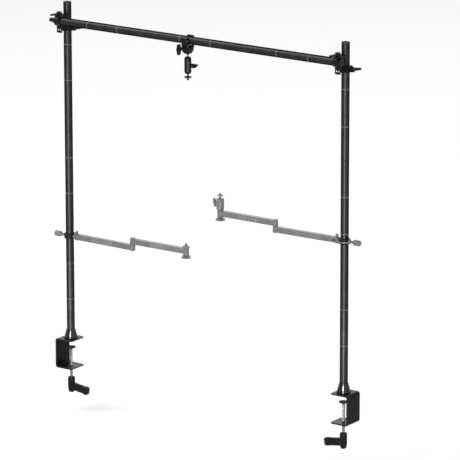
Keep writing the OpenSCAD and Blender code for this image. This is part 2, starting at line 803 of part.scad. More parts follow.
// Star knob under the end of an arm, with a screw that passes up through it
module end_knob(side) {
    top = end_boss_low - face_gap;
    lobe_r = star_d * 0.17;
    color("gray") on_end(side) {
        translate([0, 0, top - 2]) cylinder(r = end_boss_r - 1.5, h = 2);
        translate([0, 0, top - 2 - star_t]) linear_extrude(star_t) {
            circle(r = star_d * 0.34);
            for (i = [0:star_lobes - 1]) rotate(i * 360 / star_lobes)
                translate([star_d / 2 - lobe_r, 0]) circle(r = lobe_r);
        }
        translate([0, 0, top - cut])
            quarter_thread(end_screw_top - top + cut, end_boss_top + disc_t + 0.7 - top + cut);
    }
}

module left_end_disc() {
    color("gray") on_end(LEFT) translate([0, 0, end_boss_top + 0.1]) difference() {
        turned(disc_d / 2, disc_t, 0.6);
        translate([0, 0, -cut]) cylinder(r = quarter_r + thread_gap, h = disc_t + 2 * cut);
    }
}

module on_head() on_end(RIGHT) translate([0, 0, end_boss_top + 0.1]) children();

module head_body() {
    r = head_d / 2;
    color("gray") on_head() difference() {
        union() {
            turned(r, head_h, 1);
            translate([0, 0, head_ball_z - 6]) bore_x(5.5, 0, r + 2);
        }
        translate([0, 0, head_ball_z]) ball_seat(head_ball_d / 2, head_ball_d * 0.36, 0);
        translate([0, 0, -cut]) cylinder(r = quarter_r + thread_gap, h = end_screw_top - end_boss_top + 0.3 + cut);
        translate([0, 0, head_ball_z - 6]) bore_x(bolt_r + run_gap, 7, r + 3);
    }
}

// Ball with a small platform and a quarter-inch stud on top
module head_stud() {
    color("silver") on_head() translate([0, 0, head_ball_z]) {
        sphere(r = head_ball_d / 2);
        cylinder(r = neck_r, h = 15);
        translate([0, 0, 14]) turned(8.5, 2.5, 0.6);
        translate([0, 0, 16]) turned(quarter_r, 6, 0.5);
    }
}

// Wing knob that locks the ball
module head_knob() {
    r = head_d / 2 + 2 + face_gap;
    color("gray") on_head() translate([0, 0, head_ball_z - 6]) {
        bore_x(bolt_r, 7.8, r + cut);
        bore_x(4.5, r, r + 5);
        translate([r + 3, 0, 0]) rotate([0, 90, 0]) linear_extrude(4.5) {
            circle(r = 5);
            for (a = [-165, 15]) rotate(a) taper(9.5, 4, 3.4, hair);
        }
    }
}

clamp_bracket(LEFT);  // left_clamp_bracket
clamp_screw(LEFT);  // left_clamp_screw
clamp_pad(LEFT);  // left_clamp_pad
clamp_handle(LEFT);  // left_clamp_handle
clamp_bracket(RIGHT);  // right_clamp_bracket
clamp_screw(RIGHT);  // right_clamp_screw
clamp_pad(RIGHT);  // right_clamp_pad
clamp_handle(RIGHT);  // right_clamp_handle
foot_collars();
post_studs();
post_section(LEFT, 0);  // left_post_lower
post_section(LEFT, 1);  // left_post_middle
post_section(LEFT, 2);  // left_post_upper
post_section(RIGHT, 0);  // right_post_lower
post_section(RIGHT, 1);  // right_post_middle
post_section(RIGHT, 2);  // right_post_upper
bar_section(0);  // bar_left
bar_section(1);  // bar_middle
bar_section(2);  // bar_right
bar_studs();
corner_housing(LEFT);  // left_corner_housing
post_jaw(LEFT);  // left_post_jaw
bar_jaw(LEFT);  // left_bar_jaw
post_lever(LEFT);  // left_post_lever
bar_lever(LEFT);  // left_bar_lever
corner_housing(RIGHT);  // right_corner_housing
post_jaw(RIGHT);  // right_post_jaw
bar_jaw(RIGHT);  // right_bar_jaw
post_lever(RIGHT);  // right_post_lever
bar_lever(RIGHT);  // right_bar_lever
crab_body();
crab_jaw();
crab_pad(1, rear_pad);  // crab_rear_pad
crab_pad(-1, front_pad);  // crab_front_pad
crab_knob();
upper_ball_stud();
arm_sleeve();
arm_lock_lever();
lower_ball_stud();
lock_disc();
arm_ring(LEFT);  // left_arm_ring
arm_liner(LEFT);  // left_arm_liner
arm_knob(LEFT);  // left_arm_knob
arm_inner(LEFT);  // left_arm_inner
arm_bolts(LEFT);  // left_arm_bolts
arm_outer(LEFT);  // left_arm_outer
end_knob(LEFT);  // left_end_knob
left_end_disc();
arm_ring(RIGHT);  // right_arm_ring
arm_liner(RIGHT);  // right_arm_liner
arm_knob(RIGHT);  // right_arm_knob
arm_inner(RIGHT);  // right_arm_inner
arm_bolts(RIGHT);  // right_arm_bolts
arm_outer(RIGHT);  // right_arm_outer
end_knob(RIGHT);  // right_end_knob
head_body();
head_stud();
head_knob();
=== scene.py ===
"""Looks for the overhead desk stand: tubes, clamps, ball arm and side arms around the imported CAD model."""
import json
import math
import bmesh
import bpy
from mathutils import Matrix, Vector

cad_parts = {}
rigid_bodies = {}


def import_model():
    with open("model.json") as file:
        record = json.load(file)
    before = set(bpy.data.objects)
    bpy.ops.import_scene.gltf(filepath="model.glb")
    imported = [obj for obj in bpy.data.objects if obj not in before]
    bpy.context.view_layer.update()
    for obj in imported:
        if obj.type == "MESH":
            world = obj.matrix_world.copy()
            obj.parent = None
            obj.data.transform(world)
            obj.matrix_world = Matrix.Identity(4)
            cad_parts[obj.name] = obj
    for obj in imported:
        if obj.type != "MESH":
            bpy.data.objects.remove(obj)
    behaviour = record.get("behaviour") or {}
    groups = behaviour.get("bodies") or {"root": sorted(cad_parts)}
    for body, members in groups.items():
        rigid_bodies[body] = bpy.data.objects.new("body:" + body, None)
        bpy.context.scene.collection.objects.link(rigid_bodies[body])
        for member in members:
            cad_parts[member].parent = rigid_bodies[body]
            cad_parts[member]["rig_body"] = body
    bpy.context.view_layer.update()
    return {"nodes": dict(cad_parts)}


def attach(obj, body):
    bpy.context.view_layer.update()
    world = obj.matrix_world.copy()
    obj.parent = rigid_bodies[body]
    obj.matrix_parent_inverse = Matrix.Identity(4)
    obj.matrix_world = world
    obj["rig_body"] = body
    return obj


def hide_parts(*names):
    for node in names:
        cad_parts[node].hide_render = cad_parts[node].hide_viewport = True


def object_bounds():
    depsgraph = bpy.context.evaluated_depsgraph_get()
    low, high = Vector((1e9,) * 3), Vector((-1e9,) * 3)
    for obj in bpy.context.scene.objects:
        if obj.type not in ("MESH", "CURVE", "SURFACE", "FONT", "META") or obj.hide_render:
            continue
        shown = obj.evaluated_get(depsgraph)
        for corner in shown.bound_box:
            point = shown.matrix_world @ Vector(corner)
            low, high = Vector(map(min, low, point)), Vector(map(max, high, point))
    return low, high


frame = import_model()
NODES = frame["nodes"]
MM = 0.001
SIDES = (("left", -1), ("right", 1))

# Sizes of the stand in millimetres, as in the part's source
POST_X = 453.0  # post axes, on both sides of the middle
TUBE_R = 11.0
WALL = 1.5
SECTION = 316.0  # length of a post section
FOOT_Z = 4.0  # foot of the posts
BAR_Y, BAR_Z = -36.5, 904.3  # crossbar axis
BAR_START, BAR_SECTION = -466.0, 932.0 / 3
STUD_R, STUD_L = 5.75, 18.0  # joint studs: radius, and length into each section
STUD_PITCH = 1.5
INSERT_L = 28.0  # threaded insert in each end of a section
CLAMP_X = -25.0  # tube clamp and ball arm
KNOB_DROP = 19.1  # tube clamp's screw under the crossbar axis
LIGHT_STUD_DROP = 108.6  # foot of the ball arm's thread under the crossbar axis
POST_LEVER_DROP = 23.5  # the post levers' screws under the crossbar axis
ARM_Z = {"left": 296.0, "right": 418.0}
SWING = math.radians(1.2)  # of the inner links at rest
ROOT_R, INNER_L, OUTER_L = 24.0, 193.5, 179.0  # root bolt from the post axis, and the links from bolt to bolt
LINK_W, STACK = 15.0, 17.5  # width of the links, and the outer link above the inner one
ELBOW_X, ELBOW_Y = ROOT_R + INNER_L * math.cos(SWING), -INNER_L * math.sin(SWING)
BOSS_TOP = STACK + LINK_W / 2 + 3
QUARTER_R, QUARTER_PITCH = 3.175, 1.27  # the small studs' thread

# Painted rings on the tubes, in pairs 100 mm apart: heights on the posts, and places along the crossbar
RING_HEIGHTS = {"left": (117, 217, 418, 518, 734.5, 834.5), "right": (132, 232, 438, 538, 727, 827)}
BAR_RINGS = (-352.7, -252.7, -45.7, 54.3, 265.3, 365.3)

# Ticks on each link: how many, how far apart, and the first one's distance from the link's bolt
TICK_COUNT = {"inner": 10, "outer": 9}
TICK_STEP = 7.45
FIRST_TICK = {("left", "inner"): 59.1, ("right", "inner"): 52.2, ("left", "outer"): 68, ("right", "outer"): 51.6}


def collect(obj):
    bpy.context.scene.collection.objects.link(obj)
    return obj


# ---------------------------------------------------------------- node trees
def put(tree, kind, inputs=None, **settings):
    """Adds a node, sets its properties, and links or fills its inputs."""
    node = tree.nodes.new(kind)
    for key, value in settings.items():
        setattr(node, key, value)
    for key, value in (inputs or {}).items():
        if isinstance(value, bpy.types.NodeSocket):
            tree.links.new(value, node.inputs[key])
        else:
            node.inputs[key].default_value = value
    return node


def between(tree, source, low, high):
    """A noise, which keeps to 0.3 to 0.7, brought to low to high."""
    return put(tree, "ShaderNodeMapRange", {0: source, 1: 0.3, 2: 0.7, 3: low, 4: high}).outputs[0]


CLOUD_SCALE, RUB_SCALE = 38.0, 160.0
GRAIN_DEPTH = 0.0004  # metres


def finish(name, colour, rough, metallic=0.0, mottle=0.12, grain=900, relief=0.05, stretch=(1, 1, 1), coat=0.0,
           wear=0.0, shine=0.5, rim=1.0):
    """A surface with clouded colour and gloss, faint handling marks, and a grain in relief."""
    mat = bpy.data.materials.new(name)
    mat.use_nodes = True
    tree = mat.node_tree
    shader = tree.nodes["Principled BSDF"]
    place = put(tree, "ShaderNodeTexCoord").outputs["Object"]
    along = put(tree, "ShaderNodeMapping", {"Vector": place, "Scale": stretch}).outputs[0]
    clouds = put(tree, "ShaderNodeTexNoise", {"Vector": place, "Scale": CLOUD_SCALE, "Detail": 4.0}).outputs["Fac"]
    fine = put(tree, "ShaderNodeTexNoise", {"Vector": along, "Scale": grain, "Detail": 3.0}).outputs["Fac"]
    dark = [c * (1 - mottle) for c in colour] + [1]
    light = [min(1, c * (1 + mottle) + 0.002) for c in colour] + [1]
    mixed = put(tree, "ShaderNodeMix", {0: between(tree, clouds, 0, 1), 6: dark, 7: light}, data_type="RGBA")
    tint = mixed.outputs[2]
    if wear:
        rubs = put(tree, "ShaderNodeTexNoise", {"Vector": along, "Scale": RUB_SCALE, "Detail": 6.0, "Roughness": 0.75})
        worn = put(tree, "ShaderNodeMapRange", {0: rubs.outputs["Fac"], 1: 0.62, 2: 0.74, 3: 0.0, 4: wear})
        pale = [min(1, c * 1.6 + 0.008) for c in colour] + [1]
        tint = put(tree, "ShaderNodeMix", {0: worn.outputs[0], 6: tint, 7: pale}, data_type="RGBA").outputs[2]
    tree.links.new(tint, shader.inputs["Base Color"])
    gloss = put(tree, "ShaderNodeMath", {0: between(tree, clouds, rough * 0.88, rough * 1.1),
                                         1: between(tree, fine, -0.03, 0.03)}, operation="ADD")
    tree.links.new(gloss.outputs[0], shader.inputs["Roughness"])
    bump = put(tree, "ShaderNodeBump", {"Height": fine, "Strength": relief, "Distance": GRAIN_DEPTH})
    tree.links.new(bump.outputs[0], shader.inputs["Normal"])
    shader.inputs["Metallic"].default_value = metallic
    shader.inputs["Specular IOR Level"].default_value = shine
    shader.inputs["Specular Tint"].default_value = (rim, rim, rim, 1)
    shader.inputs["Coat Weight"].default_value = coat
    shader.inputs["Coat Roughness"].default_value = 0.08
    return mat


FINISH = {
    "tube_black": finish("tube_black", (0.029, 0.029, 0.0298), 0.37, metallic=1.0, grain=700, relief=0.05, wear=0.2,
                         rim=0.18),
    "bracket_black": finish("bracket_black", (0.002, 0.002, 0.0022), 0.32, grain=1500, relief=0.1, wear=0.05,
                            shine=0.06),
    "cast_black": finish("cast_black", (0.004, 0.004, 0.0042), 0.36, grain=1100, relief=0.14, shine=0.13),
    "plastic_black": finish("plastic_black", (0.004, 0.004, 0.0042), 0.42, grain=1700, relief=0.25, shine=0.12),
    "gloss_black": finish("gloss_black", (0.003, 0.003, 0.0032), 0.2, grain=400, relief=0.02, coat=0.3, shine=0.15),
    "rubber_black": finish("rubber_black", (0.013, 0.013, 0.013), 0.82, grain=1300, relief=0.35, shine=0.2),
    "bright_steel": finish("bright_steel", (0.31, 0.305, 0.295), 0.3, metallic=1.0, grain=500, relief=0.06,
                           stretch=(1, 1, 5), wear=0.3),
    "bolt_grey": finish("bolt_grey", (0.17, 0.17, 0.173), 0.42, grain=800, relief=0.08, wear=0.2, shine=0.3),
    "stud_black": finish("stud_black", (0.012, 0.012, 0.0124), 0.42, grain=800, relief=0.1, shine=0.3),
    "arm_grey": finish("arm_grey", (0.165, 0.165, 0.168), 0.38, grain=900, relief=0.07, wear=0.2, shine=0.4),
    "mark_grey": finish("mark_grey", (0.24, 0.24, 0.24), 0.6, grain=1200, relief=0.1, shine=0.3),
    # A light grey for a painted highlight round the right ring clamp
    "ring_highlight_grey": finish("ring_highlight_grey", (0.52, 0.51, 0.49), 0.35, grain=900, relief=0.05, shine=0.4),
    "tick_grey": finish("tick_grey", (0.30, 0.30, 0.30), 0.6, grain=1200, relief=0.1, shine=0.3),
    # Lighter finishes for the rounded edges: partly handling wear, partly a painted highlight along the edges
    "edge_wear_and_highlight_black": finish("edge_wear_and_highlight_black", (0.024, 0.024, 0.0245), 0.34, grain=900, relief=0.08, wear=0.35, shine=0.4),
    "edge_wear_and_highlight_grey": finish("edge_wear_and_highlight_grey", (0.27, 0.27, 0.274), 0.4, grain=900, relief=0.06, shine=0.35),
    "edge_wear_and_highlight_steel": finish("edge_wear_and_highlight_steel", (0.60, 0.60, 0.61), 0.24, metallic=1.0, grain=600, relief=0.04),
}
# The finish of the rounded edges, where it isn't the black edge finish. The edge finishes are lighter than the faces:
# partly handling wear, partly a painted highlight along the edges
EDGE_OF = {"arm_grey": "edge_wear_and_highlight_grey", "bolt_grey": "edge_wear_and_highlight_grey", "bright_steel": "edge_wear_and_highlight_steel",
           "rubber_black": "rubber_black"}


# ---------------------------------------------------------------- meshes
WELD = 2e-6  # metres
FLAT = math.radians(0.6)
SHARP, SHARP_GROWN = 28, 40  # degrees


def shade(mesh, angle):
    """Smooth, with edges over the angle in degrees sharp."""
    mesh.shade_smooth()
    mesh.set_sharp_from_angle(angle=math.radians(angle))


def apply_modifier(obj, place=None):
    """The object's mesh becomes what its modifier makes of it, moved to its place."""
    made = bpy.data.meshes.new_from_object(obj.evaluated_get(bpy.context.evaluated_depsgraph_get()))
    obj.modifiers.clear()
    if place is not None:
        made.transform(place)
        if place.determinant() < 0:
            made.flip_normals()
    obj.data = made
    made.name = obj.name
    return made


def dress(node, name, slot, width, steps=2, angle=34, look=None, trim=None):
    """A copy of a CAD node with merged faces and rounded edges, which stands for it. width is that of the rounding
    in mm, and angle the least one in degrees of an edge that has it. look is another finish than the slot's. trim is
    a second finish and the test, on a face's middle in mm, of the faces that have it."""
    source = NODES[node]
    look = look or slot
    work = bmesh.new()
    work.from_mesh(source.data)
    bmesh.ops.remove_doubles(work, verts=work.verts, dist=WELD)
    bmesh.ops.dissolve_limit(work, angle_limit=FLAT, verts=work.verts, edges=work.edges, delimit={"NORMAL"})
    mesh = bpy.data.meshes.new(name)
    work.to_mesh(mesh)
    work.free()
    mesh.materials.clear()
    mesh.materials.append(FINISH[look])
    mesh.materials.append(FINISH[EDGE_OF.get(look, "edge_wear_and_highlight_black")])
    if trim:
        mesh.materials.append(FINISH[trim[0]])
        for face in mesh.polygons:
            face.material_index = 2 if trim[1](face.center / MM) else 0
    obj = collect(bpy.data.objects.new(name, mesh))
    shade(mesh, SHARP)
    bevel = obj.modifiers.new("rounded", "BEVEL")
    bevel.harden_normals = True
    bevel.width = width * MM
    bevel.segments = steps
    bevel.limit_method = "ANGLE"
    bevel.angle_limit = math.radians(angle)
    bevel.use_clamp_overlap = True
    # The rounded edges take the second, lighter finish: partly wear, partly a painted highlight
    bevel.material = -1 if trim else 1
    apply_modifier(obj)
    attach(obj, source["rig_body"])
    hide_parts(node)


def lathe(work, profile, place, steps):
    """Spins a profile of (radius, height, finish of the face above it) in mm round Z into work."""
    rows = []
    for r, z, _ in profile:
        if r < 1e-6:
            rows.append([work.verts.new(place @ Vector((0, 0, z * MM)))])
        else:
            rows.append([work.verts.new(place @ Vector((r * MM * math.cos(a), r * MM * math.sin(a), z * MM)))
                         for a in (2 * math.pi * k / steps for k in range(steps))])
    count = len(rows)
    closed = len(rows[0]) > 1
    for i in range(count if closed else count - 1):
        low, high = rows[i], rows[(i + 1) % count]
        for k in range(steps):
            n = (k + 1) % steps
            ring = [low[k % len(low)], low[n % len(low)], high[n % len(high)], high[k % len(high)]]
            ring = list(dict.fromkeys(ring))
            if len(ring) > 2:
                work.faces.new(ring).material_index = profile[i][2]


def turned_piece(name, profiles, body, stands_for, finishes, steps, angle=SHARP):
    """One piece from several turned profiles, each with its place. stands_for are the CAD nodes that it replaces."""
    work = bmesh.new()
    for profile, place in profiles:
        lathe(work, profile, place, steps)
    bmesh.ops.recalc_face_normals(work, faces=work.faces)
    mesh = bpy.data.meshes.new(name)
    work.to_mesh(mesh)
    work.free()
    for key in finishes:
        mesh.materials.append(FINISH[key])
    obj = collect(bpy.data.objects.new(name, mesh))
    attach(obj, body)
    if stands_for:
        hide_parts(*stands_for)
    shade(mesh, angle)


def at(x, y, z, turn=None):
    """A place in mm, with an optional turn matrix."""
    return Matrix.Translation(Vector((x, y, z)) * MM) @ (turn or IN_PLACE)


IN_PLACE = Matrix.Identity(4)
ALONG_X = Matrix.Rotation(math.pi / 2, 4, "Y")
MIRRORED = Matrix.Scale(-1, 4, (1, 0, 0))


# ---------------------------------------------------------------- what repeats
def new_tree(name, sizes):
    """A tree that takes points, the named sizes and a finish."""
    tree = bpy.data.node_groups.new(name, "GeometryNodeTree")
    face = tree.interface
    face.new_socket("Geometry", in_out="INPUT", socket_type="NodeSocketGeometry")
    for label, kind in sizes:
        face.new_socket(label, in_out="INPUT", socket_type="NodeSocket" + kind)
    face.new_socket("Finish", in_out="INPUT", socket_type="NodeSocketMaterial")
    face.new_socket("Geometry", in_out="OUTPUT", socket_type="NodeSocketGeometry")
    return tree, put(tree, "NodeGroupInput")


def close_tree(tree, given, shape):
    """Puts the shape on each point, makes the copies real and paints them."""
    copies = put(tree, "GeometryNodeInstanceOnPoints", {"Points": given.outputs["Geometry"], "Instance": shape})
    real = put(tree, "GeometryNodeRealizeInstances", {0: copies.outputs[0]})
    painted = put(tree, "GeometryNodeSetMaterial", {0: real.outputs[0], "Material": given.outputs["Finish"]})
    put(tree, "NodeGroupOutput", {0: painted.outputs[0]})
    return tree


def ring_marks_tree():
    """A thin band round a tube at each point, in the given finish: the painted ring marks, and a painted highlight
    round a ring clamp.
    """
    tree, given = new_tree("ring_marks", [("Tube Radius", "Float"), ("Band Width", "Float"),
                                          ("Paint Height", "Float")])
    line = put(tree, "GeometryNodeCurvePrimitiveCircle", {"Resolution": 72, "Radius": given.outputs["Tube Radius"]})
    section = put(tree, "GeometryNodeCurvePrimitiveQuadrilateral",
                  {"Width": given.outputs["Paint Height"], "Height": given.outputs["Band Width"]})
    band = put(tree, "GeometryNodeCurveToMesh", {0: line.outputs[0], 1: section.outputs[0]})
    return close_tree(tree, given, band.outputs[0])


def thread_tree():
    """A V thread that winds up from each point."""
    tree, given = new_tree("thread", [("Root Radius", "Float"), ("Pitch", "Float"), ("Length", "Float"),
                                      ("Depth", "Float"), ("Steps", "Int")])
    turns = put(tree, "ShaderNodeMath", {0: given.outputs["Length"], 1: given.outputs["Pitch"]}, operation="DIVIDE")
    root = given.outputs["Root Radius"]
    line = put(tree, "GeometryNodeCurveSpiral", {
        "Resolution": given.outputs["Steps"], "Rotations": turns.outputs[0], "Start Radius": root, "End Radius": root,
        "Height": given.outputs["Length"]})
    upright = put(tree, "GeometryNodeSetCurveNormal", {0: line.outputs[0]}, mode="Z_UP")
    section = put(tree, "GeometryNodeCurvePrimitiveCircle", {"Resolution": 4, "Radius": given.outputs["Depth"]})
    ridge = put(tree, "GeometryNodeCurveToMesh", {0: upright.outputs[0], 1: section.outputs[0], "Fill Caps": True})
    return close_tree(tree, given, ridge.outputs[0])


def row_tree():
    """A straight row of small blocks that starts at each point."""
    tree, given = new_tree("row_of_blocks", [("Count", "Int"), ("Step", "Vector"), ("Block Size", "Vector")])
    line = put(tree, "GeometryNodeMeshLine", {"Count": given.outputs["Count"], "Offset": given.outputs["Step"]})
    block = put(tree, "GeometryNodeMeshCube", {"Size": given.outputs["Block Size"]})
    row = put(tree, "GeometryNodeInstanceOnPoints", {"Points": line.outputs[0], "Instance": block.outputs[0]})
    return close_tree(tree, given, row.outputs[0])


def ribs_tree():
    """Ribs that stand round a grip, centred on each point."""
    tree, given = new_tree("ribs", [("Count", "Int"), ("Grip Radius", "Float"), ("Rib Size", "Vector")])
    circle = put(tree, "GeometryNodeMeshCircle",
                 {"Vertices": given.outputs["Count"], "Radius": given.outputs["Grip Radius"]})
    rib = put(tree, "GeometryNodeMeshCube", {"Size": given.outputs["Rib Size"]})
    here = put(tree, "GeometryNodeInputPosition")
    outward = put(tree, "FunctionNodeAlignRotationToVector", {"Vector": here.outputs[0]}, axis="X")
    ring = put(tree, "GeometryNodeInstanceOnPoints",
               {"Points": circle.outputs[0], "Instance": rib.outputs[0], "Rotation": outward.outputs[0]})
    return close_tree(tree, given, ring.outputs[0])


RING_MARKS, THREAD, ROW, RIBS = ring_marks_tree(), thread_tree(), row_tree(), ribs_tree()


def grow(name, tree, points, place, body, slot, surface, **sizes):
    """Runs a tree on points in mm, and turns the result into a plain piece at its place."""
    seed = bpy.data.meshes.new(name)
    seed.from_pydata([Vector(p) * MM for p in points], [], [])
    obj = collect(bpy.data.objects.new(name, seed))
    grower = obj.modifiers.new("repeat", "NODES")
    grower.node_group = tree
    wanted = {k.replace("_", " ").title(): v for k, v in sizes.items()}
    for socket in tree.interface.items_tree:
        if socket.in_out == "INPUT" and socket.name in wanted:
            value = wanted.pop(socket.name)
            if socket.socket_type != "NodeSocketInt":
                value = [v * MM for v in value] if isinstance(value, (tuple, list)) else value * MM
            grower[socket.identifier] = value
        elif socket.in_out == "INPUT" and socket.name == "Finish":
            grower[socket.identifier] = FINISH[surface]
    shade(apply_modifier(obj, place), SHARP_GROWN)
    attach(obj, body)


# ---------------------------------------------------------------- tubes
def tube_profile(top):
    """A section of that length: 0 is the painted outside, and 1 the insert and the cut ends, in the dark stud finish,
    which is a painted shade for the inside of the open ends.
    """
    bore = STUD_R + 0.15
    return [
        (bore + 0.9, 0, 1), (TUBE_R - 1.6, 0, 0), (TUBE_R - 0.5, 0, 0), (TUBE_R - 0.15, 0.15, 0), (TUBE_R, 0.5, 0),
        (TUBE_R, 1.2, 0), (TUBE_R, top / 2, 0), (TUBE_R, top - 1.2, 0), (TUBE_R, top - 0.5, 0),
        (TUBE_R - 0.15, top - 0.15, 0), (TUBE_R - 0.5, top, 0),
        (TUBE_R - 1.6, top, 1), (bore + 0.9, top, 1), (bore, top - 0.9, 1), (bore, top - INSERT_L, 1),
        (TUBE_R - WALL, top - INSERT_L, 0), (TUBE_R - WALL, INSERT_L, 1), (bore, INSERT_L, 1), (bore, 0.9, 1),
    ]


def tube(name, node, body, length, place):
    turned_piece(name, [(tube_profile(length), place)], body, [node], ["tube_black", "stud_black"], 96)


def tubes():
    for side, s in SIDES:
        for i, level in enumerate(("lower", "middle", "upper")):
            tube(f"{side}_post_tube_{level}", f"{side}_post_{level}", "stand", SECTION,
                 at(s * POST_X, 0, FOOT_Z + i * SECTION))
    for i, level in enumerate(("left", "middle", "right")):
        tube(f"crossbar_tube_{level}", f"bar_{level}", "crossbar", BAR_SECTION,
             at(BAR_START + i * BAR_SECTION, BAR_Y, BAR_Z, ALONG_X))
    marks = [(s * POST_X, 0, z) for side, s in SIDES for z in RING_HEIGHTS[side]]
    band = dict(tube_radius=TUBE_R - 0.02, band_width=1.1, paint_height=0.1)
    grow("post_ring_marks", RING_MARKS, marks, IN_PLACE, "stand", None, "mark_grey", **band)
    grow("crossbar_ring_marks", RING_MARKS, [(0, 0, x) for x in BAR_RINGS], at(0, BAR_Y, BAR_Z, ALONG_X), "crossbar",
         None, "mark_grey", **band)


def stud_profile():
    """A joint stud about the joint, with a socket in each end and a waist in the middle."""
    r, e, socket = STUD_R - 0.55, 0.8, 3
    low, high = -STUD_L, STUD_L
    return [(0, low + socket, 0), (2.6, low + socket, 0), (2.9, low, 0), (r - e, low, 0), (r, low + e, 0),
            (r, -0.5, 0), (r - 0.3, -0.4, 0), (r - 0.3, 0.4, 0), (r, 0.5, 0), (r, high - e, 0), (r - e, high, 0),
            (2.9, high, 0), (2.6, high - socket, 0), (0, high - socket, 0)]


def studs():
    NODES["post_studs"].data.materials.clear()
    NODES["post_studs"].data.materials.append(FINISH["bright_steel"])
    joints = [(stud_profile(), at(BAR_START + i * BAR_SECTION, BAR_Y, BAR_Z, ALONG_X)) for i in range(3)]
    turned_piece("crossbar_studs", joints, "crossbar", ["bar_studs"], ["stud_black"], 48)
    grow("crossbar_end_thread", THREAD, [(0, 0, -STUD_L + 0.6)], at(BAR_START, BAR_Y, BAR_Z, ALONG_X), "crossbar",
         "bright_steel", "stud_black", root_radius=STUD_R - 0.6, pitch=STUD_PITCH, length=STUD_L - 1.8, depth=0.72,
         steps=32)
    # The threads inside the open sockets are steel, but take the dark stud finish: a painted shade for the inside of
    # the sockets
    inside, depth = dict(root_radius=STUD_R + 0.2, pitch=STUD_PITCH, length=13.5, depth=0.5, steps=32), 15
    grow("post_top_threads", THREAD, [(s * POST_X, 0, FOOT_Z + 3 * SECTION - depth) for _, s in SIDES], IN_PLACE,
         "stand", "bright_steel", "stud_black", **inside)
    grow("crossbar_socket_thread", THREAD, [(0, 0, -depth)], at(-BAR_START, BAR_Y, BAR_Z, ALONG_X), "crossbar",
         "bright_steel", "stud_black", **inside)


# ---------------------------------------------------------------- desk clamps
def collar_profile():
    """The collar of a post's foot, a cone over a round foot."""
    bore, r, top = TUBE_R + 0.1, 19.25, 25.5
    return [(bore, 0, 0), (r - 0.8, 0, 0), (r - 0.2, 0.25, 0), (r, 0.8, 0), (r, 2.6, 0), (r - 0.3, 3.4, 0),
            (r - 1.3, 5.6, 0), (r - 2.1, 7.6, 0), (TUBE_R + 1.75, 24.2, 0), (TUBE_R + 1.3, 25.1, 0),
            (TUBE_R + 0.7, top, 0), (bore, top, 0)]


ROD_LOW, ROD_TOP = -134.5, -24.1  # ends of the clamp screws


def rod_profile():
    """The clamp screw under its thread, with a pin at the top for the pad."""
    core, pin = 3.4, 3.0
    return [(0, ROD_LOW, 0), (core - 0.5, ROD_LOW, 0), (core, ROD_LOW + 0.6, 0), (core, ROD_TOP - 2.4, 0),
            (pin, ROD_TOP - 2.2, 0), (pin, ROD_TOP, 0), (0, ROD_TOP, 0)]


def desk_clamps():
    turned_piece("post_foot_collars", [(collar_profile(), at(s * POST_X, 0, FOOT_Z)) for _, s in SIDES], "stand",
                 ["foot_collars"], ["gloss_black"], 96, 24)
    for side, s in SIDES:
        dress(f"{side}_clamp_bracket", f"{side}_clamp_plate", "bracket_black", 0.7, 3)
        turned_piece(f"{side}_clamp_rod", [(rod_profile(), at(s * POST_X, 0, 0))], f"{side}_handle",
                     [f"{side}_clamp_screw"], ["bright_steel"], 32)
        grow(f"{side}_clamp_thread", THREAD, [(s * POST_X, 0, ROD_LOW + 2)], IN_PLACE, f"{side}_handle",
             "bright_steel", "bright_steel", root_radius=3.42, pitch=1.25, length=ROD_TOP - ROD_LOW - 5, depth=0.57,
             steps=20)
        dress(f"{side}_clamp_pad", f"{side}_pressure_pad", "rubber_black", 0.4)
        dress(f"{side}_clamp_handle", f"{side}_crank_handle", "plastic_black", 1.3, 4, 30)


# ---------------------------------------------------------------- corner clamps
BOSS_H, FACE_GAP, HUB_STEP = 6.0, 0.3, 4.4  # on the tube: the boss, the gap over it, and the hub under the cap
LEVER_CAP_Z = TUBE_R + BOSS_H + FACE_GAP + HUB_STEP
# The round cap on a wing lever's hub, where 1 is its flat rim
LEVER_CAP = [(0, -0.3, 0), (6.6, -0.3, 0), (6.9, 0, 0), (6.9, 1.1, 0), (7.3, 1.6, 0), (7.3, 3.7, 0), (6.6, 4.4, 1),
             (3.2, 4.4, 1), (2.6, 3.6, 0), (0, 3.6, 0)]


def corner_clamps():
    for side, s in SIDES:
        dress(f"{side}_corner_housing", f"{side}_corner_casting", "cast_black", 0.7, 3)
        post_hub = at(s * POST_X + LEVER_CAP_Z, 0, BAR_Z - POST_LEVER_DROP, ALONG_X)
        bar_hub = at(s * POST_X, BAR_Y, BAR_Z + LEVER_CAP_Z)
        # The bar levers' caps face upwards, and their flat rim is grey: a painted highlight on the lit top. The post
        # levers' caps face sideways and keep the black.
        for part, hub, rim in (("post", post_hub, "plastic_black"), ("bar", bar_hub, "bolt_grey")):
            dress(f"{side}_{part}_jaw", f"{side}_{part}_saddle_block", "cast_black", 0.3)
            dress(f"{side}_{part}_lever", f"{side}_{part}_wing_lever", "plastic_black", 0.8, 3, 30)
            turned_piece(f"{side}_{part}_lever_cap", [(LEVER_CAP, hub)], f"{side}_{part}_wing", (),
                         ["plastic_black", rim], 32)


# ---------------------------------------------------------------- tube clamp and ball arm
def stud_thread(name, spot, length, body):
    """The thread of a small stud, from its foot upwards."""
    grow(name, THREAD, [spot], IN_PLACE, body, "bright_steel", "bolt_grey", root_radius=QUARTER_R - 0.22,
         pitch=QUARTER_PITCH, length=length, depth=0.34, steps=24)


def on_shank(middle):
    """The bare shank of the tube clamp's screw, short of the knob."""
    return middle.y > -54 and math.hypot(middle.x - CLAMP_X, middle.z - BAR_Z + KNOB_DROP) < 2.6


